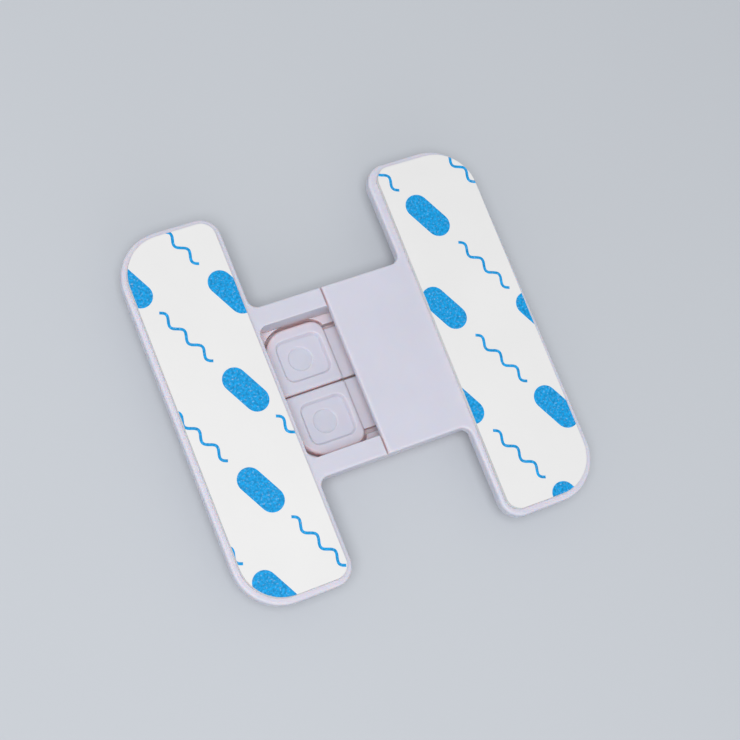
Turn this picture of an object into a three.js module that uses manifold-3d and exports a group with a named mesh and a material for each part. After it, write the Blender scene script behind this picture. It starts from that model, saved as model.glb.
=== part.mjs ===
// Push-button child-safety door latch: an H of two stick-on halves, lying on its front face.
// Millimetres. X runs along the neck, Y along the bars, +Z points to the adhesive side.
// The keeper half is at -X, the half with the latch arms at +X, and z = 0 is the front panel's face.

import * as THREE from 'three';
import { mergeVertices } from 'three/addons/utils/BufferGeometryUtils.js';
import Module from 'manifold-3d';

// Plan of the H
const BAR_LENGTH = 80;
const BAR_WIDTH = 23.2;
const NECK_LENGTH = 34;
const NECK_WIDTH = 37.4;
const OUTER_CORNER = 10;
const INNER_CORNER = 4.3;
const NECK_FILLET = 2;

// Depths, from the back face to the front
const BODY_DEPTH = 10.5;
const BAR_DEPTH = 6.2;
const BAR_SIDE = 2.4;
const NECK_SIDE = 4;

// Rounding of the front: how far the crown runs in from the sides
const BAR_CROWN = 9;
const NECK_CROWN = 5.2;

// The fairing that carries the neck out over the bar
const FAIRING_INSET = 7.7;
const FAIRING_RUN = 14.5;
const FAIRING_CORNER = 9;

// Walls
const PLATE = 1.4;
const PLATE_EDGE = 0.5;
const PANEL = 1.6;
const WALL = 1.8;
const RIB = 1.2;

// Where the halves meet: at the back and, under the lapping plate, at the front
const SEAM_BACK = -1.4;
const SEAM_LAP = 3.6;
const SEAM_GAP = 0.3;

// Keeper pocket, the rails beside it and the teeth on the rails
const RAIL = 4.2;
const POCKET_PAST_NECK = 0.3;
const POCKET_CORNER = 2;
const LEDGE_DROP = 0.2;
const LEDGE_GAP = 1.5;
const TOOTH_HOLD = 2;
const TOOTH_GAP = 1.1;

// Heads of the latch arms
const HEAD_TIP_GAP = 1.1;
const HEAD_SEAM_GAP = 0.9;
const HEAD_SIDE_GAP = 0.7;
const HEAD_LIFT = 0.4;
const HEAD_THICKNESS = 2.9;
const HEAD_SLIT = 0.3;
const HEAD_EDGE = 0.6;
const HEAD_CORNER = 5.5;
const SHOULDER_CORNER = 2.8;
const SMALL_CORNER = 0.8;
const FRAME_END = 2.4;
const FRAME_SIDE = 2.3;
const FRAME_ROOT = 1.4;
const RECESS_DEPTH = 0.9;
const RECESS_CORNER = 1.9;
const RECESS_SLOPE = 0.35;
const RECESS_RIM = 0.3;
const DIMPLE_DEPTH = 0.2;
const DIMPLE_SLOPE = 0.2;
const SOCKET_WEB = 0.6;

// Tongues that carry the heads
const SHOULDER_STEP = 2.5;
const TONGUE_SLIT = 0.6;
const TONGUE_THICKNESS = 2;

// Hinge pin, the barrels that turn on it and the cradles that hold it
const PIN_FROM_BAR = 4;
const PIN_RADIUS = 1;
const PIN_PLAY = 0.12;
const BARREL_WALL = 1.08;
const BARREL_GAP = 0.5;
const CRADLE = 2;
const CRADLE_WALL = 1.5;
const CRADLE_GAP = 0.4;

// Button caps and their windows in the keeper's front panel
const CAP_RIM = 1.68;
const CAP_CORNER = 2.6;
const CAP_EDGE = 0.5;
const CAP_LIP = 0.5;
const CAP_INSET = 0.2;
const CAP_DISH = 0.6;
const WINDOW_GAP = 0.5;
const PEG_RADIUS = 2.45;
const PEG_GAP = 0.2;

// Return springs and the posts that centre them
const SPRING_FROM_SEAM = 2;
const SPRING_RADIUS = 2.1;
const SPRING_WIRE = 0.5;
const SPRING_PITCH = 1;
const SPRING_SEAT = 0.15;
const POST_GAP = 0.65;
const POST_HEIGHT = 1;

// Screws under the pads and the bosses that they go into
const SCREW_FROM_END = 14;
const SCREW_LENGTH = 3.6;
const SCREW_RADIUS = 0.9;
const SCREW_TIP = 0.6;
const SCREW_HEAD_RADIUS = 1.9;
const SCREW_HEAD_HEIGHT = 1;
const SCREW_GAP = 0.15;
const BOSS_WALL = 1.35;
const BOSS_GAP = 1;

// Adhesive pads
const PAD_MARGIN = 1.3;
const FOAM = 1.05;
const LINER = 0.15;

// Facets
const ARC_STEPS = 4;
const CORNER_STEPS = 8;
const CROWN_STEPS = 6;
const ROUND_STEPS = 24;
const EDGE_STEPS = 3;
const TURN_STEPS = 8;
const WIRE_SIDES = 5;

// Numerical helpers
const MERGE = 1e-4;
const SINK = 0.5;
const BEYOND = 60;

// Places worked out from the sizes above
const BACK = BODY_DEPTH;
const UNDER_PLATE = BACK - PLATE;
const BAR_INNER = NECK_LENGTH / 2;
const BAR_OUTER = BAR_INNER + BAR_WIDTH;
const BAR_MIDDLE = BAR_INNER + BAR_WIDTH / 2;
const BAR_HALF = BAR_LENGTH / 2;
const NECK_HALF = NECK_WIDTH / 2;
const POCKET_HALF = NECK_HALF - RAIL;
const POCKET_END = BAR_INNER + POCKET_PAST_NECK;
const SEAM_FRONT = SEAM_BACK + SEAM_LAP;
const HEAD_FRONT = PANEL + HEAD_LIFT;
const HEAD_BACK = HEAD_FRONT + HEAD_THICKNESS;
const HEAD_LEFT = HEAD_TIP_GAP - POCKET_END;
const HEAD_RIGHT = SEAM_BACK - HEAD_SEAM_GAP;
const HEAD_OUTER = POCKET_HALF - HEAD_SIDE_GAP;
const HEAD_INNER = HEAD_SLIT / 2;
const RECESS_FLOOR = HEAD_BACK - RECESS_DEPTH;
const DIMPLE_FLOOR = RECESS_FLOOR - DIMPLE_DEPTH;
const SOCKET_TOP = DIMPLE_FLOOR - SOCKET_WEB;
const LEDGE = HEAD_BACK - LEDGE_DROP;
const HOLE_RADIUS = PIN_RADIUS + PIN_PLAY;
const BARREL_RADIUS = HOLE_RADIUS + BARREL_WALL;
const PIN_X = BAR_INNER - PIN_FROM_BAR;
const PIN_Z = PANEL + BARREL_GAP + BARREL_RADIUS;
const TONGUE_INNER = TONGUE_SLIT / 2;
const TONGUE_OUTER = HEAD_OUTER - SHOULDER_STEP;
const CAP_X = (HEAD_LEFT + HEAD_RIGHT) / 2;
const CAP_Y = (HEAD_OUTER + HEAD_INNER) / 2;
const CAP_HALF = (HEAD_OUTER - HEAD_INNER) / 2 - CAP_RIM;
const CRADLE_LOW = TONGUE_OUTER + CRADLE_GAP;
const CRADLE_HIGH = CRADLE_LOW + CRADLE;
const SPRING_X = SEAM_FRONT + SPRING_FROM_SEAM;
const SPRING_Y = (TONGUE_OUTER + TONGUE_INNER) / 2;
const POST_RADIUS = SPRING_RADIUS - SPRING_WIRE / 2 - POST_GAP;
const BOSS_RADIUS = SCREW_RADIUS + SCREW_GAP + BOSS_WALL;

// Where the three screws of a half stand
const SCREW_PLACES = [
  [BAR_MIDDLE, BAR_HALF - SCREW_FROM_END],
  [BAR_MIDDLE, SCREW_FROM_END - BAR_HALF],
  [POCKET_END + WALL + BOSS_GAP + BOSS_RADIUS, 0],
];

const wasm = await Module();
wasm.setup();

// A closed geometry as a solid: shared vertices merged, collapsed triangles dropped
function solid(geometry) {
  const bare = new THREE.BufferGeometry();
  bare.setAttribute('position', geometry.getAttribute('position'));
  bare.setIndex(geometry.getIndex());
  const merged = mergeVertices(bare, MERGE);
  const corners = merged.getIndex().array;
  const triangles = [];
  for (let i = 0; i < corners.length; i += 3) {
    const [a, b, c] = corners.subarray(i, i + 3);
    if (a !== b && b !== c && c !== a) triangles.push(a, b, c);
  }
  return new wasm.Manifold(new wasm.Mesh({
    numProp: 3,
    vertProperties: merged.getAttribute('position').array,
    triVerts: Uint32Array.from(triangles),
  }));
}

function geometryOf(body) {
  const mesh = body.getMesh();
  const geometry = new THREE.BufferGeometry();
  geometry.setAttribute('position', new THREE.BufferAttribute(mesh.vertProperties, 3));
  geometry.setIndex(new THREE.BufferAttribute(mesh.triVerts, 1));
  return geometry;
}

// The same solid on the other side of a plane through the origin
function mirrored(body, x, y) {
  const geometry = geometryOf(body);
  geometry.scale(x, y, 1);
  if (x * y < 0) geometry.index.array.reverse();
  return solid(geometry);
}

function bothSides(body) {
  return body.add(mirrored(body, 1, -1));
}

// A flat outline raised from one height to another
function prism(shape, bottom, top, steps = ARC_STEPS) {
  const geometry = new THREE.ExtrudeGeometry(shape, {
    depth: top - bottom,
    bevelEnabled: false,
    curveSegments: steps,
  });
  geometry.translate(0, 0, bottom);
  return solid(geometry);
}

// A flat plate whose top edge is rounded all the way round
function roundedPlate(shape, bottom, top, radius) {
  const geometry = new THREE.ExtrudeGeometry(shape, {
    depth: top - bottom,
    bevelThickness: radius,
    bevelSize: radius,
    bevelOffset: -radius,
    bevelSegments: EDGE_STEPS,
    curveSegments: CORNER_STEPS,
  });
  geometry.translate(0, 0, bottom - radius);
  const below = block(-BEYOND, BEYOND, -BEYOND, BEYOND, bottom - BEYOND, bottom);
  return solid(geometry).subtract(below);
}

function block(left, right, low, high, bottom, top) {
  const geometry = new THREE.BoxGeometry(right - left, high - low, top - bottom);
  geometry.translate((left + right) / 2, (low + high) / 2, (bottom + top) / 2);
  return solid(geometry);
}

// A round form along Z that tapers from its low radius to its high one
function cone(x, y, low, high, bottom, top) {
  const geometry = new THREE.CylinderGeometry(high, low, top - bottom, ROUND_STEPS);
  geometry.rotateX(Math.PI / 2);
  geometry.translate(x, y, (bottom + top) / 2);
  return solid(geometry);
}

// A round post along Z
function post(x, y, radius, bottom, top) {
  return cone(x, y, radius, radius, bottom, top);
}

// A round bar along Y
function crossBar(x, z, radius, low, high) {
  const geometry = new THREE.CylinderGeometry(radius, radius, high - low, ROUND_STEPS);
  geometry.translate(x, (low + high) / 2, z);
  return solid(geometry);
}

// A rectangle with its own radius at each corner, in the order right-low, right-high, left-high, left-low
function roundedRectangle(left, right, low, high, radii) {
  const [rightLow, rightHigh, leftHigh, leftLow] = radii;
  const quarter = Math.PI / 2;
  const shape = new THREE.Shape();
  shape.moveTo(left + leftLow, low);
  shape.absarc(right - rightLow, low + rightLow, rightLow, -quarter, 0);
  shape.absarc(right - rightHigh, high - rightHigh, rightHigh, 0, quarter);
  shape.absarc(left + leftHigh, high - leftHigh, leftHigh, quarter, 2 * quarter);
  shape.absarc(left + leftLow, low + leftLow, leftLow, 2 * quarter, 3 * quarter);
  return shape;
}

// One level of a crowned form: a rectangle, symmetric about X, with corner radii at its two ends
function level(left, right, half, leftCorner, rightCorner, steps = CORNER_STEPS) {
  const points = [];
  const corners = [
    [right, -1, rightCorner, -1],
    [right, 1, rightCorner, 0],
    [left, 1, leftCorner, 1],
    [left, -1, leftCorner, 2],
  ];
  for (const [end, side, corner, quarters] of corners) {
    const radius = Math.max(corner, 0);
    const centreX = end === right ? end - radius : end + radius;
    const centreY = side * (half - radius);
    for (let i = 0; i <= steps; i += 1) {
      const angle = (quarters + i / steps) * Math.PI / 2;
      points.push([centreX + radius * Math.cos(angle), centreY + radius * Math.sin(angle)]);
    }
  }
  return points;
}

// A solid through levels of equal point counts, listed from the lowest to the highest
function loft(levels) {
  const count = levels[0].points.length;
  const positions = [];
  const triangles = [];
  for (const { z, points } of levels) {
    for (const [x, y] of points) positions.push(x, y, z);
  }
  for (let i = 0; i + 1 < levels.length; i += 1) {
    for (let j = 0; j < count; j += 1) {
      const a = i * count + j;
      const b = i * count + (j + 1) % count;
      triangles.push(a, b, b + count, a, b + count, a + count);
    }
  }
  const top = (levels.length - 1) * count;
  for (let j = 1; j + 1 < count; j += 1) {
    triangles.push(0, j + 1, j, top, top + j, top + j + 1);
  }
  const geometry = new THREE.BufferGeometry();
  geometry.setAttribute('position', new THREE.Float32BufferAttribute(positions, 3));
  geometry.setIndex(triangles);
  return solid(geometry);
}

// A straight-sided form with a quarter-elliptic crown on its front.
// plan(run) gives the level where the crown has run in by that share.
function crowned(front, side, top, plan) {
  const levels = [];
  for (let i = CROWN_STEPS; i >= 0; i -= 1) {
    const angle = i / CROWN_STEPS * Math.PI / 2;
    levels.push({ z: side - (side - front) * Math.sin(angle), points: plan(1 - Math.cos(angle)) });
  }
  levels.push({ z: top, points: plan(0) });
  return loft(levels);
}

// Forms of one half, with +X pointing outwards along the neck. inset is the wall left outside the form.
function barForm(inset, top) {
  return crowned(BACK - BAR_DEPTH + inset, BACK - BAR_SIDE, top, (run) => {
    const drawn = inset + (BAR_CROWN - inset) * run;
    const left = BAR_INNER + drawn;
    const right = BAR_OUTER - drawn;
    return level(left, right, BAR_HALF - drawn, INNER_CORNER - drawn, OUTER_CORNER - drawn);
  });
}

// The neck's body and the fairing that carries it out over the bar; front is the wall left at the front
function neckForm(inset, front, start, top) {
  return crowned(front, BACK - NECK_SIDE, top, (run) => {
    const drawn = inset + (NECK_CROWN - inset) * run;
    const end = BAR_OUTER - FAIRING_INSET - inset - FAIRING_RUN * run;
    return level(start, end, NECK_HALF - drawn, 0, FAIRING_CORNER - drawn);
  });
}

// The small concave fillets where the neck's sides meet the bar
function neckFillets(bottom, top) {
  const shape = new THREE.Shape();
  shape.moveTo(BAR_INNER - NECK_FILLET, NECK_HALF);
  shape.absarc(BAR_INNER - NECK_FILLET, NECK_HALF + NECK_FILLET, NECK_FILLET, -Math.PI / 2, 0);
  shape.lineTo(BAR_INNER + SINK, NECK_HALF + NECK_FILLET);
  shape.lineTo(BAR_INNER + SINK, NECK_HALF - SINK);
  shape.lineTo(BAR_INNER - NECK_FILLET, NECK_HALF - SINK);
  return bothSides(prism(shape, bottom, top, CORNER_STEPS));
}

// The T-shaped outline of one half's back plate
function plateOutline(start) {
  const quarter = Math.PI / 2;
  const shape = new THREE.Shape();
  shape.moveTo(start, -NECK_HALF);
  shape.lineTo(BAR_INNER - NECK_FILLET, -NECK_HALF);
  shape.absarc(BAR_INNER - NECK_FILLET, -NECK_HALF - NECK_FILLET, NECK_FILLET, quarter, 0, true);
  shape.absarc(BAR_INNER + INNER_CORNER, INNER_CORNER - BAR_HALF, INNER_CORNER, 2 * quarter, 3 * quarter);
  shape.absarc(BAR_OUTER - OUTER_CORNER, OUTER_CORNER - BAR_HALF, OUTER_CORNER, -quarter, 0);
  shape.absarc(BAR_OUTER - OUTER_CORNER, BAR_HALF - OUTER_CORNER, OUTER_CORNER, 0, quarter);
  shape.absarc(BAR_INNER + INNER_CORNER, BAR_HALF - INNER_CORNER, INNER_CORNER, quarter, 2 * quarter);
  shape.absarc(BAR_INNER - NECK_FILLET, NECK_HALF + NECK_FILLET, NECK_FILLET, 0, -quarter, true);
  shape.lineTo(start, NECK_HALF);
  return shape;
}

// One half's hollow front shell: room is hollowed out of it round the ribs and the screw bosses
function shell(start, room) {
  const outer = barForm(0, UNDER_PLATE)
    .add(neckForm(0, 0, start, UNDER_PLATE))
    .add(neckFillets(BACK - BAR_SIDE, UNDER_PLATE));
  const low = POCKET_HALF - RIB / 2;
  let kept = bothSides(block(BAR_INNER, BAR_OUTER, low, low + RIB, 0, UNDER_PLATE));
  for (const [x, y] of SCREW_PLACES) kept = kept.add(post(x, y, BOSS_RADIUS, 0, UNDER_PLATE));
  let body = outer.subtract(room.subtract(kept));
  for (const [x, y] of SCREW_PLACES) {
    const depth = SCREW_LENGTH + SCREW_GAP;
    body = body.subtract(post(x, y, SCREW_RADIUS + SCREW_GAP, BACK - depth, BACK));
  }
  return body;
}

// A countersunk hole for each screw through a half's back plate
function screwHoles() {
  let holes = null;
  for (const [x, y] of SCREW_PLACES) {
    const wide = SCREW_HEAD_RADIUS + SCREW_GAP;
    const narrow = SCREW_RADIUS + SCREW_GAP;
    const hole = cone(x, y, narrow, wide, BACK - SCREW_HEAD_HEIGHT, BACK)
      .add(post(x, y, narrow, UNDER_PLATE - SINK, BACK - SINK));
    holes = holes ? holes.add(hole) : hole;
  }
  return holes;
}

function screw() {
  const top = BACK - SCREW_GAP;
  const neck = top - SCREW_HEAD_HEIGHT;
  const profile = [
    [0, BACK - SCREW_LENGTH],
    [SCREW_RADIUS / 2, BACK - SCREW_LENGTH],
    [SCREW_RADIUS, BACK - SCREW_LENGTH + SCREW_TIP],
    [SCREW_RADIUS, neck],
    [SCREW_HEAD_RADIUS, top],
    [0, top],
  ].map(([x, y]) => new THREE.Vector2(x, y));
  const geometry = new THREE.LatheGeometry(profile, ROUND_STEPS / 2);
  geometry.rotateX(Math.PI / 2);
  return geometry;
}

// The pocket between the keeper's rails, in the keeper's outward frame
function pocket(bottom, corner) {
  const radii = [corner, corner, corner, corner];
  const shape = roundedRectangle(-BEYOND, POCKET_END, -POCKET_HALF, POCKET_HALF, radii);
  return prism(shape, bottom, BACK + SINK, CORNER_STEPS);
}

// A tooth on the inside of a rail, wrapped round the shoulder of the latch arm's head
function tooth(start) {
  const centreX = HEAD_RIGHT - SHOULDER_CORNER;
  const centreY = HEAD_OUTER - SHOULDER_CORNER;
  const radius = POCKET_HALF - centreY;
  const tip = TONGUE_OUTER + TOOTH_GAP;
  const tipAngle = Math.asin((tip - centreY) / radius);
  const shape = new THREE.Shape();
  shape.moveTo(centreX, POCKET_HALF + SINK);
  shape.lineTo(centreX, POCKET_HALF);
  shape.absarc(centreX, centreY, radius, Math.PI / 2, tipAngle, true);
  shape.lineTo(start, tip);
  shape.lineTo(start, POCKET_HALF + SINK);
  return prism(shape, PANEL - SINK, HEAD_FRONT + TOOTH_HOLD, CORNER_STEPS);
}

function buttonWindow() {
  const half = CAP_HALF + WINDOW_GAP;
  const corner = CAP_CORNER + WINDOW_GAP;
  const radii = [corner, corner, corner, corner];
  const shape = roundedRectangle(CAP_X - half, CAP_X + half, CAP_Y - half, CAP_Y + half, radii);
  return prism(shape, -SINK, PANEL + SINK);
}

// The shell round the pocket: ledges in the pocket's corners follow the heads' rounded corners
function keeperShell() {
  const start = SEAM_FRONT - SEAM_GAP / 2;
  const wing = block(POCKET_END + WALL, BEYOND, -BEYOND, BEYOND, 0, BACK);
  const hollow = neckForm(WALL, PANEL, 0, BACK).add(barForm(WALL, BACK)).intersect(wing);
  const well = pocket(PANEL, HEAD_CORNER + LEDGE_GAP).add(pocket(LEDGE, POCKET_CORNER));
  const body = mirrored(shell(-start, hollow.add(well)), -1, 1);
  return body.add(bothSides(tooth(start))).subtract(bothSides(buttonWindow()));
}

function keeperPlate() {
  const start = -SEAM_BACK + SEAM_GAP / 2;
  const plate = roundedPlate(plateOutline(start), UNDER_PLATE, BACK, PLATE_EDGE);
  const room = pocket(UNDER_PLATE - SINK, POCKET_CORNER).add(screwHoles());
  return mirrored(plate.subtract(room), -1, 1);
}

// A cradle rib with a slot, open towards the back, that the hinge pin drops into
function cradle() {
  const half = HOLE_RADIUS + CRADLE_WALL;
  const low = CRADLE_LOW - SINK;
  const high = CRADLE_HIGH + SINK;
  const top = PIN_Z + PIN_RADIUS;
  return block(PIN_X - half, PIN_X + half, CRADLE_LOW, CRADLE_HIGH, PANEL - SINK, top)
    .subtract(crossBar(PIN_X, PIN_Z, HOLE_RADIUS, low, high))
    .subtract(block(PIN_X - HOLE_RADIUS, PIN_X + HOLE_RADIUS, low, high, PIN_Z, top + SINK));
}

function tongueShell() {
  const start = SEAM_FRONT + SEAM_GAP / 2;
  const hollow = neckForm(WALL, PANEL, start - SINK, BACK).add(barForm(WALL, BACK));
  return shell(start, hollow).add(bothSides(cradle()));
}

// The back plate with the feet that close the cradles and the posts that centre the springs
function tonguePlate() {
  const start = SEAM_BACK + SEAM_GAP / 2;
  const left = PIN_X - PIN_RADIUS;
  const right = PIN_X + PIN_RADIUS;
  const foot = block(left, right, CRADLE_LOW, CRADLE_HIGH, PIN_Z + HOLE_RADIUS, UNDER_PLATE + SINK);
  const centring = post(SPRING_X, SPRING_Y, POST_RADIUS, UNDER_PLATE - POST_HEIGHT, UNDER_PLATE + SINK);
  return roundedPlate(plateOutline(start), UNDER_PLATE, BACK, PLATE_EDGE)
    .subtract(screwHoles())
    .add(bothSides(foot))
    .add(bothSides(centring));
}

// The upper latch arm: framed head with a dimple over its blind peg socket, tongue, spring post and barrel
function latchArm() {
  const headRadii = [SMALL_CORNER, SHOULDER_CORNER, HEAD_CORNER, SMALL_CORNER];
  const outline = roundedRectangle(HEAD_LEFT, HEAD_RIGHT, HEAD_INNER, HEAD_OUTER, headRadii);
  const left = HEAD_LEFT + FRAME_END;
  const right = HEAD_RIGHT - FRAME_ROOT;
  const half = CAP_Y - HEAD_INNER - FRAME_SIDE;
  const recessLevel = (grow) => {
    const corner = RECESS_CORNER + grow;
    return level(left - grow, right + grow, half + grow, corner, corner, ARC_STEPS)
      .map(([x, y]) => [x, y + CAP_Y]);
  };
  const levels = [{ z: RECESS_FLOOR, points: recessLevel(-RECESS_SLOPE) }];
  for (let i = 0; i <= EDGE_STEPS; i += 1) {
    const angle = i / EDGE_STEPS * Math.PI / 2;
    const z = HEAD_BACK - RECESS_RIM * (1 - Math.sin(angle));
    levels.push({ z, points: recessLevel(RECESS_RIM * (1 - Math.cos(angle))) });
  }
  levels.push({ z: HEAD_BACK + SINK, points: recessLevel(RECESS_RIM) });
  const dimpleTop = PEG_RADIUS + 2 * DIMPLE_SLOPE;
  const dimple = cone(CAP_X, CAP_Y, PEG_RADIUS, dimpleTop, DIMPLE_FLOOR, RECESS_FLOOR + DIMPLE_DEPTH);
  return roundedPlate(outline, HEAD_FRONT, HEAD_BACK, HEAD_EDGE)
    .subtract(loft(levels))
    .subtract(dimple)
    .subtract(post(CAP_X, CAP_Y, PEG_RADIUS + PEG_GAP, 0, SOCKET_TOP))
    .add(block(right, PIN_X, TONGUE_INNER, TONGUE_OUTER, PIN_Z - TONGUE_THICKNESS, PIN_Z))
    .add(post(SPRING_X, SPRING_Y, POST_RADIUS, PIN_Z - SINK, PIN_Z + POST_HEIGHT))
    .add(crossBar(PIN_X, PIN_Z, BARREL_RADIUS, TONGUE_INNER, TONGUE_OUTER))
    .subtract(crossBar(PIN_X, PIN_Z, HOLE_RADIUS, 0, HEAD_OUTER));
}

// A dished button cap whose peg goes into the socket in the head's front
function buttonCap() {
  const capLevel = (grow) => {
    const half = CAP_HALF + grow;
    return level(CAP_X - half, CAP_X + half, half, CAP_CORNER, CAP_CORNER)
      .map(([x, y]) => [x, y + CAP_Y]);
  };
  const body = loft([
    { z: CAP_INSET, points: capLevel(-CAP_EDGE) },
    { z: CAP_INSET + CAP_EDGE, points: capLevel(0) },
    { z: HEAD_FRONT, points: capLevel(0) },
  ]);
  const reach = CAP_HALF - CAP_EDGE - CAP_LIP;
  const radius = (reach * reach + CAP_DISH * CAP_DISH) / (2 * CAP_DISH);
  const dish = new THREE.SphereGeometry(radius, ROUND_STEPS * 2, ROUND_STEPS * 2);
  dish.translate(CAP_X, CAP_Y, CAP_INSET + CAP_DISH - radius);
  return body
    .subtract(solid(dish))
    .add(post(CAP_X, CAP_Y, PEG_RADIUS, HEAD_FRONT - SINK, SOCKET_TOP - PEG_GAP));
}

function hingePin() {
  return crossBar(PIN_X, PIN_Z, PIN_RADIUS, -CRADLE_HIGH, CRADLE_HIGH);
}

// A compression spring wound as one round wire
function springGeometry() {
  const wire = SPRING_WIRE / 2;
  const bottom = PIN_Z + SPRING_SEAT + wire;
  const rise = UNDER_PLATE - SPRING_SEAT - wire - bottom;
  const steps = Math.round(rise / SPRING_PITCH) * TURN_STEPS;
  const positions = [];
  const triangles = [];
  const centres = [];
  for (let i = 0; i <= steps; i += 1) {
    const angle = i / TURN_STEPS * 2 * Math.PI;
    const z = bottom + rise * i / steps;
    centres.push(new THREE.Vector3(SPRING_RADIUS * Math.cos(angle), SPRING_RADIUS * Math.sin(angle), z));
    for (let j = 0; j < WIRE_SIDES; j += 1) {
      const turn = j / WIRE_SIDES * 2 * Math.PI;
      const radius = SPRING_RADIUS + wire * Math.cos(turn);
      positions.push(radius * Math.cos(angle), radius * Math.sin(angle), z + wire * Math.sin(turn));
    }
  }
  for (let i = 0; i < steps; i += 1) {
    for (let j = 0; j < WIRE_SIDES; j += 1) {
      const a = i * WIRE_SIDES + j;
      const b = i * WIRE_SIDES + (j + 1) % WIRE_SIDES;
      triangles.push(a, a + WIRE_SIDES, b + WIRE_SIDES, a, b + WIRE_SIDES, b);
    }
  }
  const last = steps * WIRE_SIDES;
  for (let j = 1; j + 1 < WIRE_SIDES; j += 1) {
    triangles.push(0, j, j + 1, last, last + j + 1, last + j);
  }
  const geometry = new THREE.BufferGeometry();
  geometry.setAttribute('position', new THREE.Float32BufferAttribute(positions, 3));
  geometry.setIndex(triangles);
  let gap = Infinity;
  for (let i = 0; i <= steps; i += 1) {
    for (let j = i + TURN_STEPS / 2; j <= steps; j += 1) {
      gap = Math.min(gap, centres[i].distanceTo(centres[j]) - SPRING_WIRE);
    }
  }
  console.log(`least gap between the spring's turns: ${gap.toFixed(2)} mm`);
  return geometry;
}

function padOutline() {
  const outer = OUTER_CORNER - PAD_MARGIN;
  const inner = INNER_CORNER - PAD_MARGIN;
  const half = BAR_HALF - PAD_MARGIN;
  const left = BAR_INNER + PAD_MARGIN;
  const right = BAR_OUTER - PAD_MARGIN;
  return roundedRectangle(left, right, -half, half, [outer, outer, inner, inner]);
}

const white = new THREE.MeshStandardMaterial({ color: 0xe4e4ec, roughness: 0.45, metalness: 0 });
const capWhite = new THREE.MeshStandardMaterial({ color: 0xdcdde6, roughness: 0.4, metalness: 0 });
const foamWhite = new THREE.MeshStandardMaterial({ color: 0xf0f0ee, roughness: 0.95, metalness: 0 });
const linerWhite = new THREE.MeshStandardMaterial({ color: 0xf4f4f5, roughness: 0.35, metalness: 0 });
const steel = new THREE.MeshStandardMaterial({ color: 0xb9bcc0, roughness: 0.3, metalness: 1 });

const latch = new THREE.Group();

function place(name, geometry, material) {
  const mesh = new THREE.Mesh(geometry, material);
  mesh.name = name;
  latch.add(mesh);
  return mesh;
}

place('keeper_front_shell', geometryOf(keeperShell()), white);
place('keeper_back_plate', geometryOf(keeperPlate()), white);
place('tongue_front_shell', geometryOf(tongueShell()), white);
place('tongue_back_plate', geometryOf(tonguePlate()), white);
place('hinge_pin', geometryOf(hingePin()), steel);

const arm = latchArm();
const cap = buttonCap();
const spring = springGeometry();
for (const [name, side] of [['upper', 1], ['lower', -1]]) {
  place(`${name}_latch_arm`, geometryOf(mirrored(arm, 1, side)), white);
  place(`${name}_button_cap`, geometryOf(mirrored(cap, 1, side)), capWhite);
  place(`${name}_return_spring`, spring, steel).position.set(SPRING_X, side * SPRING_Y, 0);
}

const foam = prism(padOutline(), BACK, BACK + FOAM, CORNER_STEPS);
const liner = prism(padOutline(), BACK + FOAM, BACK + FOAM + LINER, CORNER_STEPS);
for (const [name, side] of [['keeper', -1], ['tongue', 1]]) {
  place(`${name}_foam_pad`, geometryOf(mirrored(foam, side, 1)), foamWhite);
  place(`${name}_release_liner`, geometryOf(mirrored(liner, side, 1)), linerWhite);
  SCREW_PLACES.forEach(([x, y], i) => {
    const geometry = geometryOf(solid(screw()));
    place(`${name}_screw_${i + 1}`, geometry, steel).position.set(side * x, y, 0);
  });
}

export default latch;
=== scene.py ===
"""Looks of a push-button child-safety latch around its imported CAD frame. Metres, +Z to the adhesive side."""

import math

import bmesh
import bpy
from mathutils import Matrix, Vector
from mathutils.geometry import delaunay_2d_cdt


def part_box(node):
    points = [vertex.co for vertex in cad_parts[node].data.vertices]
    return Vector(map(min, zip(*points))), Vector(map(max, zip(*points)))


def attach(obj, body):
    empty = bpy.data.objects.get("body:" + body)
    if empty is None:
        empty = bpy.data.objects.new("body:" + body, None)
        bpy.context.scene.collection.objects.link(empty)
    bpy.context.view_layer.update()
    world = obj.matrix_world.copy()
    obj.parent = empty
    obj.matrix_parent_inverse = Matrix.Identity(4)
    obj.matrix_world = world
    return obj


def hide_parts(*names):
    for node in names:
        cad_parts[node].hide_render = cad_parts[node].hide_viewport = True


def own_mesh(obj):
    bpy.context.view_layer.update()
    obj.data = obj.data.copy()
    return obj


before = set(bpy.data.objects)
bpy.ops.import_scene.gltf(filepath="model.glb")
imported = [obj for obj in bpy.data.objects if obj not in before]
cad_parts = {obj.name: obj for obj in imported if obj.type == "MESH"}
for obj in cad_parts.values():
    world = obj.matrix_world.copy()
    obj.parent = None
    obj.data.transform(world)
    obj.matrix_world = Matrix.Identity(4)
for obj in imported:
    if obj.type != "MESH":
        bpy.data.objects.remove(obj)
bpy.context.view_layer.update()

MM = 0.001

# Camera, from a perspective fit to the photographed edges
CAMERA_PLACE = Vector((-0.1156, -0.0636, 0.3459))
CAMERA_RIGHT = Vector((0.8953, -0.3731, 0.2435))
CAMERA_UP = Vector((0.3047, 0.9115, 0.2762))
CAMERA_LENS = 85.9
CAMERA_CLIP = 10 * MM

# Floor and light
FLOOR_SIZE = 4.0
FLOOR_COLOUR = (0.55, 0.58, 0.62)
FLOOR_TINT = (0.99, 1.01)
FLOOR_ROUGHNESS = 0.9
HAZE_SCALE = 7
WORLD_COLOUR = (0.97, 0.98, 1.0, 1)
WORLD_STRENGTH = 0.46
KEY = {"place": (-0.27, -0.15, 0.83), "size": 0.45, "power": 4.95, "colour": (1.0, 0.99, 0.98)}
FILL = {"place": (-0.10, -0.70, 0.36), "size": 0.60, "power": 0.40, "colour": (1.0, 0.99, 0.99)}

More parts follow.
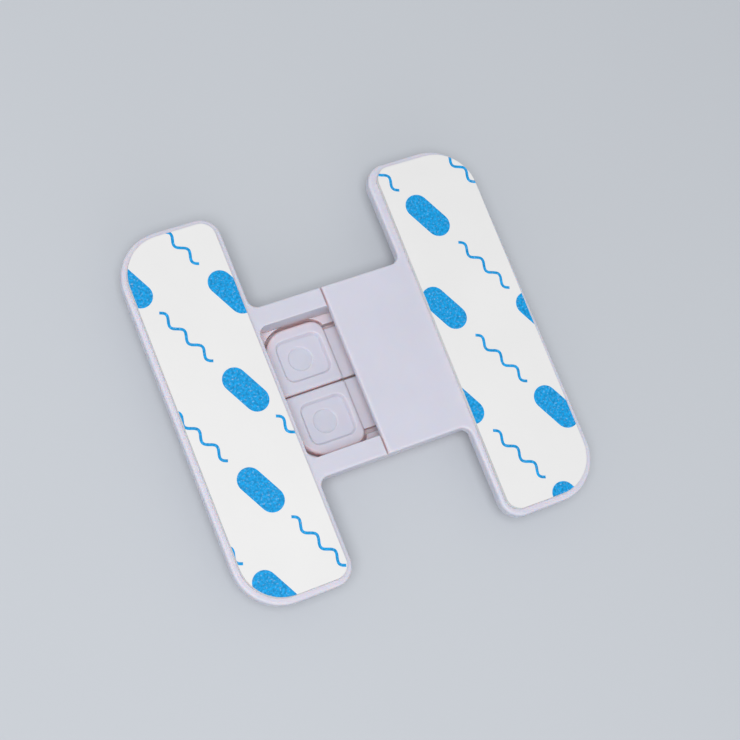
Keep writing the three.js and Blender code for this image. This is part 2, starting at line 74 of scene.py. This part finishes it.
# The part of a noise's range that is used, and the colour sockets of a Mix node
NOISE_LOW = 0.3
NOISE_HIGH = 0.7
MIX_SHARE = 0
MIX_FIRST = 6
MIX_SECOND = 7
MIX_RESULT = 2

# White plastic
PLASTIC = (0.652, 0.655, 0.745)
BUTTON = (0.627, 0.634, 0.722)
PLASTIC_TINT = (0.985, 1.015)
PLASTIC_ROUGHNESS = (0.40, 0.52)
PLASTIC_IOR = 1.5
PLASTIC_SCATTER = 1.2 * MM
PLASTIC_SCATTER_COLOUR = (1.0, 0.66, 0.52)
MOTTLE_SCALE = 85
GRAIN_SCALE = 2600
GRAIN_DEPTH = 0.006 * MM
MOULD_SCALE = 130
MOULD_DEPTH = 0.020 * MM

# Painted light in the plastic's creases, a warm lighter colour in place of light scattered through the
# plastic: how far a crease reaches, and the openness at which the painted light is full or gone
PAINTED_CREASE_LIGHT = (0.910, 0.685, 0.690)
PAINTED_CREASE_REACH = 6.0 * MM
PAINTED_CREASE_SAMPLES = 8
PAINTED_CREASE_FULL = 0.05
PAINTED_CREASE_GONE = 0.80
PAINTED_CREASE_SHARE = 0.75

# Release paper
PAPER = (0.800, 0.800, 0.797)
PAPER_TINT = (0.985, 1.01)
PAPER_ROUGHNESS = (0.42, 0.56)
PAPER_COAT = 0.12
PAPER_COAT_ROUGHNESS = 0.25
PAPER_IOR = 1.45
FIBRE_SCALE = 1500
FIBRE_DEPTH = 0.004 * MM
CLOUD_SCALE = 60
SHEET_SCALE = 95
SHEET_DEPTH = 0.030 * MM

# Ink
INK_THICK = (0.001, 0.225, 0.520)
INK_THIN = (0.004, 0.390, 0.860)
INK_ROUGHNESS = (0.45, 0.60)
INK_IOR = 1.3
COVER_SCALE = 1800
COVER_RANGE = (0.34, 0.66)
SPECK_SCALE = 2300
SPECK_RANGE = (0.56, 0.74)
SPECK_SHARE = 0.35

# Foam
FOAM = (0.760, 0.760, 0.750)
FOAM_TINT = (0.90, 1.03)
FOAM_ROUGHNESS = 0.95
FOAM_SCATTER_SHARE = 0.25
FOAM_SCATTER = 0.8 * MM
CELL_SCALE = 5200
CELL_EDGE = 0.7
CELL_DEPTH = 0.05 * MM
CELL_STRENGTH = 0.8

# Drawn steel
STEEL = (0.560, 0.565, 0.575)
STEEL_TINT = (0.9, 1.08)
STEEL_ROUGHNESS = (0.24, 0.40)
DRAWN_STRETCH = (1, 0.12, 1)
DRAWN_SCALE = 3800
DRAWN_DEPTH = 0.004 * MM
SHEEN_SCALE = 600

# Edges of the moulded and metal pieces, with angles in degrees
EDGE = 0.12 * MM
FINE_EDGE = 0.10 * MM
SCREW_EDGE = 0.05 * MM
EDGE_STEPS = 2
EDGE_ANGLE = 40
FLAT_ANGLE = 0.4
WELD = 1e-7

# Pads: die-cut corners, and how they were stuck on by hand, turned in radians
PAD_OUTER_CORNER = 8.7 * MM
PAD_INNER_CORNER = 3.0 * MM
PAD_STEPS = 14
PAD_TURN = {"keeper": 0.002, "tongue": -0.012}
PAD_SHIFT = {"keeper": -0.10 * MM, "tongue": 0.15 * MM}

# Cut sides of a pad: shares of its height, and how far the side is drawn in there
PAD_SIDE = (
    (0.0, 0.02 * MM),
    (0.12, 0.0),
    (0.35, 0.05 * MM),
    (0.62, 0.06 * MM),
    (0.88, 0.01 * MM),
    (1.0, 0.03 * MM),
)

# A pad's face whose normal stands up more than this is its top or bottom
PAD_UPRIGHT = 0.7

# Print on the liners: slanted, staggered rows of a capsule and a ripple, with starts in millimetres
PRINT_ANGLE = {"keeper": 118, "tongue": -62}
PRINT_START = {"keeper": (4.0, 3.0), "tongue": (-7.0, 6.0)}
PRINT_PITCH = 31 * MM
PRINT_ROW_PITCH = 13.5 * MM
PRINT_STAGGER = 0.5
PRINT_ROWS = range(-6, 7)
PRINT_COLUMNS = range(-3, 4)
PRINT_MARGIN = 6 * MM
CAPSULE_HALF = 2.9 * MM
CAPSULE_RADIUS = 2.6 * MM
CAPSULE_STEPS = 20
RIPPLE_START = 8.6 * MM
RIPPLE_LENGTH = 14.4 * MM
RIPPLE_HEIGHT = 0.72 * MM
RIPPLE_STROKE = 0.62 * MM
RIPPLE_WAVES = 3
RIPPLE_STEPS = 48

# Cutting the liner along its print: triangles inside the outlines, with a tolerance in millimetres
CUT_INSIDE = 1
CUT_TOLERANCE = 1e-5

# Places of the liner's two materials
LINER_PAPER = 0
LINER_INK = 1

# Return springs: a step of a closed turn rises by a share of what an open turn adds to it
SPRING_TURNS = 5.5
SPRING_WIRE = 0.5 * MM
SPRING_STEPS = 24
SPRING_SIDES = 10
SPRING_CLOSED_TURNS = 1.1
SPRING_CLOSED_RISE = 0.62


def node(tree, kind, inputs=None, **settings):
    """A shader node with its settings, its constants and its links."""
    made = tree.nodes.new("ShaderNode" + kind)
    for key, value in settings.items():
        setattr(made, key, value)
    for key, value in (inputs or {}).items():
        if isinstance(value, bpy.types.NodeSocket):
            tree.links.new(value, made.inputs[key])
        else:
            made.inputs[key].default_value = value
    return made


def material(name, **constants):
    """A material with a Principled shader, its tree and its object coordinates."""
    made = bpy.data.materials.new(name)
    made.use_nodes = True
    tree = made.node_tree
    shader = tree.nodes["Principled BSDF"]
    for key, value in constants.items():
        shader.inputs[key.replace("_", " ")].default_value = value
    where = node(tree, "TexCoord").outputs["Object"]
    return made, tree, shader, where


def feed(tree, shader, **outputs):
    """Links outputs to the shader's sockets of those names."""
    for key, output in outputs.items():
        tree.links.new(output, shader.inputs[key.replace("_", " ")])


def noise(tree, where, scale, detail, roughness=0.5):
    """A noise in object coordinates."""
    inputs = {"Vector": where, "Scale": scale, "Detail": detail, "Roughness": roughness}
    return node(tree, "TexNoise", inputs).outputs["Fac"]


def remap(tree, value, low, high, start, end):
    """A value taken from one range to another, and kept inside it."""
    inputs = {"Value": value, "From Min": low, "From Max": high, "To Min": start, "To Max": end}
    return node(tree, "MapRange", inputs).outputs["Result"]


def stretch(tree, value, start=0, end=1):
    """The used part of a noise's range, taken to another range."""
    return remap(tree, value, NOISE_LOW, NOISE_HIGH, start, end)


def blend(tree, share, first, second):
    """A mix of two colours, each an output or a constant."""
    made = node(tree, "Mix", data_type="RGBA")
    tree.links.new(share, made.inputs[MIX_SHARE])
    for index, colour in ((MIX_FIRST, first), (MIX_SECOND, second)):
        if isinstance(colour, bpy.types.NodeSocket):
            tree.links.new(colour, made.inputs[index])
        else:
            made.inputs[index].default_value = (*colour, 1)
    return made.outputs[MIX_RESULT]


def tinted(tree, share, colour, tint):
    """A colour that varies between two shades of itself."""
    darker, lighter = (tuple(c * factor for c in colour) for factor in tint)
    return blend(tree, share, darker, lighter)


def bump(tree, height, distance, strength=1.0, under=None):
    """A bumped normal, on top of another one if it is given."""
    inputs = {"Height": height, "Distance": distance, "Strength": strength}
    if under is not None:
        inputs["Normal"] = under
    return node(tree, "Bump", inputs).outputs["Normal"]


def plastic(name, colour):
    """Injection-moulded white plastic: fine grain, slow mould waves, slight mottling, and painted warm light
    in its creases.
    """
    made, tree, shader, where = material(
        name,
        Subsurface_Weight=1.0,
        Subsurface_Scale=PLASTIC_SCATTER,
        Subsurface_Radius=PLASTIC_SCATTER_COLOUR,
        IOR=PLASTIC_IOR,
    )
    mottle = stretch(tree, noise(tree, where, MOTTLE_SCALE, detail=3))
    base = tinted(tree, mottle, colour, PLASTIC_TINT)
    # Painted light: ambient occlusion turns the colour warmer and lighter in creases, standing in for light
    # scattered through the plastic
    corner = node(tree, "AmbientOcclusion", {"Distance": PAINTED_CREASE_REACH}, samples=PAINTED_CREASE_SAMPLES)
    painted_crease_light = remap(tree, corner.outputs["AO"], PAINTED_CREASE_FULL, PAINTED_CREASE_GONE, PAINTED_CREASE_SHARE, 0)
    grain = noise(tree, where, GRAIN_SCALE, detail=2)
    waves = bump(tree, noise(tree, where, MOULD_SCALE, detail=2), MOULD_DEPTH)
    feed(
        tree,
        shader,
        Base_Color=blend(tree, painted_crease_light, base, PAINTED_CREASE_LIGHT),
        Roughness=stretch(tree, grain, *PLASTIC_ROUGHNESS),
        Normal=bump(tree, grain, GRAIN_DEPTH, under=waves),
    )
    return made


def sheet_waves(tree, where):
    """The slight waves of a stuck-on paper sheet."""
    return bump(tree, noise(tree, where, SHEET_SCALE, detail=2), SHEET_DEPTH)


def paper():
    """Siliconed release paper: smooth, faintly fibrous, barely wavy."""
    made, tree, shader, where = material(
        "liner_paper", Coat_Weight=PAPER_COAT, Coat_Roughness=PAPER_COAT_ROUGHNESS, IOR=PAPER_IOR
    )
    fibre = noise(tree, where, FIBRE_SCALE, detail=4, roughness=0.6)
    cloud = stretch(tree, noise(tree, where, CLOUD_SCALE, detail=3))
    feed(
        tree,
        shader,
        Base_Color=tinted(tree, cloud, PAPER, PAPER_TINT),
        Roughness=stretch(tree, fibre, *PAPER_ROUGHNESS),
        Normal=bump(tree, fibre, FIBRE_DEPTH, under=sheet_waves(tree, where)),
    )
    return made


def ink():
    """Thin blue print on the liner, uneven, and speckled where the paper shows through."""
    made, tree, shader, where = material("liner_ink", IOR=INK_IOR)
    speckle = noise(tree, where, SPECK_SCALE, detail=3, roughness=0.7)
    speck = remap(tree, speckle, *SPECK_RANGE, 0, SPECK_SHARE)
    cover = remap(tree, noise(tree, where, COVER_SCALE, detail=3), *COVER_RANGE, 0, 1)
    uneven = blend(tree, cover, INK_THICK, INK_THIN)
    feed(
        tree,
        shader,
        Base_Color=blend(tree, speck, uneven, PAPER),
        Roughness=remap(tree, speck, 0, SPECK_SHARE, *INK_ROUGHNESS),
        Normal=sheet_waves(tree, where),
    )
    return made


def foam():
    """Closed-cell foam: fine cells on the cut sides, dull all over."""
    made, tree, shader, where = material(
        "foam",
        Roughness=FOAM_ROUGHNESS,
        Subsurface_Weight=FOAM_SCATTER_SHARE,
        Subsurface_Scale=FOAM_SCATTER,
    )
    cells = node(tree, "TexVoronoi", {"Vector": where, "Scale": CELL_SCALE}).outputs["Distance"]
    shade = remap(tree, cells, 0, CELL_EDGE, 0, 1)
    feed(
        tree,
        shader,
        Base_Color=tinted(tree, shade, FOAM, FOAM_TINT),
        Normal=bump(tree, cells, CELL_DEPTH, CELL_STRENGTH),
    )
    return made


def steel():
    """Drawn steel with fine lines and uneven sheen."""
    made, tree, shader, where = material("drawn_steel", Metallic=1.0)
    lines = node(tree, "Mapping", {"Vector": where, "Scale": DRAWN_STRETCH}).outputs["Vector"]
    strokes = noise(tree, lines, DRAWN_SCALE, detail=3, roughness=0.6)
    sheen = stretch(tree, noise(tree, where, SHEEN_SCALE, detail=2))
    feed(
        tree,
        shader,
        Base_Color=tinted(tree, sheen, STEEL, STEEL_TINT),
        Roughness=stretch(tree, strokes, *STEEL_ROUGHNESS),
        Normal=bump(tree, strokes, DRAWN_DEPTH),
    )
    return made


def ground():
    """A plain pale studio floor."""
    made, tree, shader, where = material("floor", Roughness=FLOOR_ROUGHNESS)
    haze = stretch(tree, noise(tree, where, HAZE_SCALE, detail=2))
    feed(tree, shader, Base_Color=tinted(tree, haze, FLOOR_COLOUR, FLOOR_TINT))
    return made


def link(name, data):
    """A new object in the scene."""
    made = bpy.data.objects.new(name, data)
    bpy.context.scene.collection.objects.link(made)
    return made


def piece_of(name, shape, looks):
    """A new object from a bmesh, with its materials."""
    mesh = bpy.data.meshes.new(name)
    shape.to_mesh(mesh)
    shape.free()
    for look in looks:
        mesh.materials.append(look)
    return link(name, mesh)


def shade_smooth(mesh):
    mesh.polygons.foreach_set("use_smooth", [True] * len(mesh.polygons))


def join_points(part, name):
    part.modifiers.new(name, "WELD").merge_threshold = WELD


def dress(name, look, edge=EDGE):
    """Gives a CAD node its material, welded smooth faces and slightly rounded edges."""
    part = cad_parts[name]
    part.data.materials.clear()
    part.data.materials.append(look)
    shade_smooth(part.data)
    join_points(part, "weld")
    flat = part.modifiers.new("flat", "DECIMATE")
    flat.decimate_type = "DISSOLVE"
    flat.angle_limit = math.radians(FLAT_ANGLE)
    rounding = part.modifiers.new("edges", "BEVEL")
    rounding.width = edge
    rounding.segments = EDGE_STEPS
    rounding.limit_method = "ANGLE"
    rounding.angle_limit = math.radians(EDGE_ANGLE)
    rounding.use_clamp_overlap = False
    join_points(part, "tidy")
    normals = part.modifiers.new("normals", "WEIGHTED_NORMAL")
    normals.keep_sharp = True


def rounded_outline(left, right, low, high, radii, steps):
    """Points of a rectangle with its own corner radii: right-low, right-high, left-high, left-low."""
    corners = (
        (right - radii[0], low + radii[0], radii[0], -90),
        (right - radii[1], high - radii[1], radii[1], 0),
        (left + radii[2], high - radii[2], radii[2], 90),
        (left + radii[3], low + radii[3], radii[3], 180),
    )
    points = []
    for x, y, radius, start in corners:
        for i in range(steps + 1):
            angle = math.radians(start + 90 * i / steps)
            points.append(Vector((x + radius * math.cos(angle), y + radius * math.sin(angle))))
    return points


def pad_outline(half, inset=0.0):
    """The die-cut outline of one pad, turned and shifted as it was stuck on, as 2-D points."""
    low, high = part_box(f"{half}_foam_pad")
    outer = PAD_OUTER_CORNER - inset
    inner = PAD_INNER_CORNER - inset
    radii = (outer, outer, inner, inner) if half == "tongue" else (inner, inner, outer, outer)
    centre = Vector(((low.x + high.x) / 2, (low.y + high.y) / 2))
    points = rounded_outline(
        low.x + inset, high.x - inset, low.y + inset, high.y - inset, radii, PAD_STEPS
    )
    turn = Matrix.Rotation(PAD_TURN[half], 2)
    shift = Vector((PAD_SHIFT[half], 0))
    return [turn @ (p - centre) + centre + shift for p in points]


def close_rings(shape, rings):
    """Walls through rings of points, with a cap at each end."""
    count = len(rings[0])
    for under, over in zip(rings, rings[1:]):
        for i in range(count):
            j = (i + 1) % count
            shape.faces.new((under[i], under[j], over[j], over[i]))
    shape.faces.new(list(reversed(rings[0])))
    shape.faces.new(rings[-1])


def foam_pad(half, look):
    """A die-cut foam pad whose cut sides are drawn in a little between the plate and the liner."""
    low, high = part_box(f"{half}_foam_pad")
    shell = bmesh.new()
    rings = []
    for share, inset in PAD_SIDE:
        z = low.z + (high.z - low.z) * share
        rings.append([shell.verts.new((p.x, p.y, z)) for p in pad_outline(half, inset)])
    close_rings(shell, rings)
    piece = piece_of(f"{half}_foam", shell, [look])
    for face in piece.data.polygons:
        face.use_smooth = abs(face.normal.z) < PAD_UPRIGHT
    return piece


def ripple(start, along):
    """A thin wavy line as a closed outline."""
    across = Vector((-along.y, along.x))
    turns = 2 * math.pi * RIPPLE_WAVES
    over, under = [], []
    for i in range(RIPPLE_STEPS + 1):
        share = i / RIPPLE_STEPS
        phase = turns * share
        middle = start + along * (RIPPLE_LENGTH * share) + across * (RIPPLE_HEIGHT * math.sin(phase))
        slope = RIPPLE_HEIGHT * math.cos(phase) * turns / RIPPLE_LENGTH
        normal = (across - along * slope).normalized()
        over.append(middle + normal * (RIPPLE_STROKE / 2))
        under.append(middle - normal * (RIPPLE_STROKE / 2))
    return under + list(reversed(over))


def capsule(start, end):
    """A long rounded mark as a closed outline."""
    along = (end - start).normalized()
    heading = math.atan2(along.y, along.x)
    points = []
    for centre, turn in ((end, heading - math.pi / 2), (start, heading + math.pi / 2)):
        for i in range(CAPSULE_STEPS + 1):
            angle = turn + math.pi * i / CAPSULE_STEPS
            points.append(centre + Vector((math.cos(angle), math.sin(angle))) * CAPSULE_RADIUS)
    return points


def printed(half, centre, outline):
    """The outlines of the marks that come near one liner."""
    angle = math.radians(PRINT_ANGLE[half])
    along = Vector((math.cos(angle), math.sin(angle)))
    across = Vector((-along.y, along.x))
    first = Vector(PRINT_START[half]) * MM + centre
    marks = []
    for row in PRINT_ROWS:
        for column in PRINT_COLUMNS:
            offset = (column + PRINT_STAGGER * (row % 2)) * PRINT_PITCH
            place = first + along * offset + across * (row * PRINT_ROW_PITCH)
            marks.append(capsule(place - along * CAPSULE_HALF, place + along * CAPSULE_HALF))
            marks.append(ripple(place + along * RIPPLE_START, along))
    reach_x = max(abs(p.x - centre.x) for p in outline) + PRINT_MARGIN
    reach_y = max(abs(p.y) for p in outline) + PRINT_MARGIN

    def near(mark):
        return any(abs(p.x - centre.x) < reach_x and abs(p.y) < reach_y for p in mark)

    return [mark for mark in marks if near(mark)]


def liner(half, looks):
    """The release liner: one closed thin sheet whose top is cut along the outlines of its print."""
    low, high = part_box(f"{half}_release_liner")
    centre = Vector(((low.x + high.x) / 2, 0))
    outline = pad_outline(half)
    points, faces = [], []
    for shape in [outline, *printed(half, centre, outline)]:
        faces.append(list(range(len(points), len(points) + len(shape))))
        points += shape
    # Working in millimetres keeps the tolerance well below the print's detail
    in_mm = [p / MM for p in points]
    verts, _, cut, _, _, sources = delaunay_2d_cdt(in_mm, [], faces, CUT_INSIDE, CUT_TOLERANCE)
    sheet = bmesh.new()
    top = [sheet.verts.new((v.x * MM, v.y * MM, high.z)) for v in verts]
    # Shape 0 is the liner's own outline, and a face that lies in another one too is print
    for corners, owners in zip(cut, sources):
        if 0 in owners:
            face = sheet.faces.new([top[i] for i in corners])
            face.material_index = LINER_INK if len(owners) > 1 else LINER_PAPER
    bmesh.ops.delete(sheet, geom=[v for v in sheet.verts if not v.link_faces], context="VERTS")
    bmesh.ops.recalc_face_normals(sheet, faces=sheet.faces)
    if next(iter(sheet.faces)).normal.z < 0:
        bmesh.ops.reverse_faces(sheet, faces=sheet.faces)
    # The rim goes down to the pad and is closed there
    rim = [e for e in sheet.edges if e.is_boundary]
    lowered = bmesh.ops.extrude_edge_only(sheet, edges=rim)["geom"]
    fringe = [g for g in lowered if isinstance(g, bmesh.types.BMVert)]
    for v in fringe:
        v.co.z = low.z
    walls = [f for f in sheet.faces if any(v in fringe for v in f.verts)]
    bottom = [e for e in sheet.edges if e.is_boundary]
    bmesh.ops.contextual_create(sheet, geom=bottom)
    for f in walls:
        f.material_index = LINER_PAPER
    bmesh.ops.recalc_face_normals(sheet, faces=sheet.faces)
    return piece_of(f"{half}_liner", sheet, looks)


def spring(name, node_name, look):
    """A compression spring with closed ends, wound as one round wire."""
    low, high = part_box(node_name)
    centre = (low + high) / 2
    wire = SPRING_WIRE / 2
    radius = (high.y - low.y) / 2 - wire
    steps = round(SPRING_TURNS * SPRING_STEPS)
    closed = SPRING_CLOSED_TURNS * SPRING_STEPS
    heights = [0.0]
    for i in range(steps):
        share = min(1, min(i, steps - i) / closed)
        heights.append(heights[-1] + SPRING_CLOSED_RISE + share * share * (3 - 2 * share))
    bottom, top = low.z + wire, high.z - wire
    heights = [bottom + (top - bottom) * h / heights[-1] for h in heights]
    coil = bmesh.new()
    rings = []
    for i, z in enumerate(heights):
        angle = 2 * math.pi * i / SPRING_STEPS
        out = Vector((math.cos(angle), math.sin(angle), 0))
        ring = []
        for j in range(SPRING_SIDES):
            turn = 2 * math.pi * j / SPRING_SIDES
            place = out * (radius + wire * math.cos(turn)) + Vector((0, 0, wire * math.sin(turn)))
            ring.append(coil.verts.new((centre.x + place.x, centre.y + place.y, z + place.z)))
        rings.append(ring)
    close_rings(coil, rings)
    bmesh.ops.recalc_face_normals(coil, faces=coil.faces)
    piece = piece_of(name, coil, [look])
    shade_smooth(piece.data)
    return piece


def area_light(name, place, size, power, colour):
    """A round soft lamp that faces the origin."""
    data = bpy.data.lights.new(name, "AREA")
    data.shape = "DISK"
    data.size = size
    data.energy = power
    data.color = colour
    made = link(name, data)
    made.location = place
    made.rotation_mode = "QUATERNION"
    made.rotation_quaternion = (-Vector(place)).to_track_quat("-Z", "Y")


# Materials
white = plastic("white_plastic", PLASTIC)
button_white = plastic("button_plastic", BUTTON)
drawn = steel()
foam_look = foam()
liner_looks = (paper(), ink())

# Moulded and metal pieces keep their CAD shapes
for half in ("keeper", "tongue"):
    dress(f"{half}_front_shell", white)
    dress(f"{half}_back_plate", white)
    for number in (1, 2, 3):
        dress(f"{half}_screw_{number}", drawn, SCREW_EDGE)
dress("hinge_pin", drawn, FINE_EDGE)
for side in ("upper", "lower"):
    dress(f"{side}_latch_arm", white, FINE_EDGE)
    dress(f"{side}_button_cap", button_white, FINE_EDGE)

# Soft and wound pieces stand for their CAD solids
for half, body in (("keeper", "keeper"), ("tongue", "tongue_half")):
    pad = foam_pad(half, foam_look)
    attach(pad, body)
    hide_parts(f"{half}_foam_pad")
    cover = liner(half, liner_looks)
    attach(cover, body)
    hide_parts(f"{half}_release_liner")
for side in ("upper", "lower"):
    node_name = f"{side}_return_spring"
    wound = spring(f"{side}_spring", node_name, drawn)
    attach(wound, "tongue_half")
    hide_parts(node_name)
    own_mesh(wound)

# Floor, light and camera
floor_mesh = bpy.data.meshes.new("floor")
reach = FLOOR_SIZE / 2
floor_corners = [(-reach, -reach, 0), (reach, -reach, 0), (reach, reach, 0), (-reach, reach, 0)]
floor_mesh.from_pydata(floor_corners, [], [(0, 1, 2, 3)])
floor_mesh.materials.append(ground())
link("floor", floor_mesh)

world = bpy.data.worlds.new("studio")
world.use_nodes = True
sky = world.node_tree.nodes["Background"]
sky.inputs["Color"].default_value = WORLD_COLOUR
sky.inputs["Strength"].default_value = WORLD_STRENGTH
bpy.context.scene.world = world
area_light("key", **KEY)
area_light("fill", **FILL)

lens = bpy.data.cameras.new("camera")
lens.lens = CAMERA_LENS
lens.clip_start = CAMERA_CLIP
camera = link("camera", lens)
back = CAMERA_RIGHT.cross(CAMERA_UP)
turned = Matrix((CAMERA_RIGHT, CAMERA_UP, back)).transposed()
camera.matrix_world = Matrix.Translation(CAMERA_PLACE) @ turned.to_4x4()
bpy.context.scene.camera = camera
bpy.context.scene.view_settings.view_transform = "Standard"
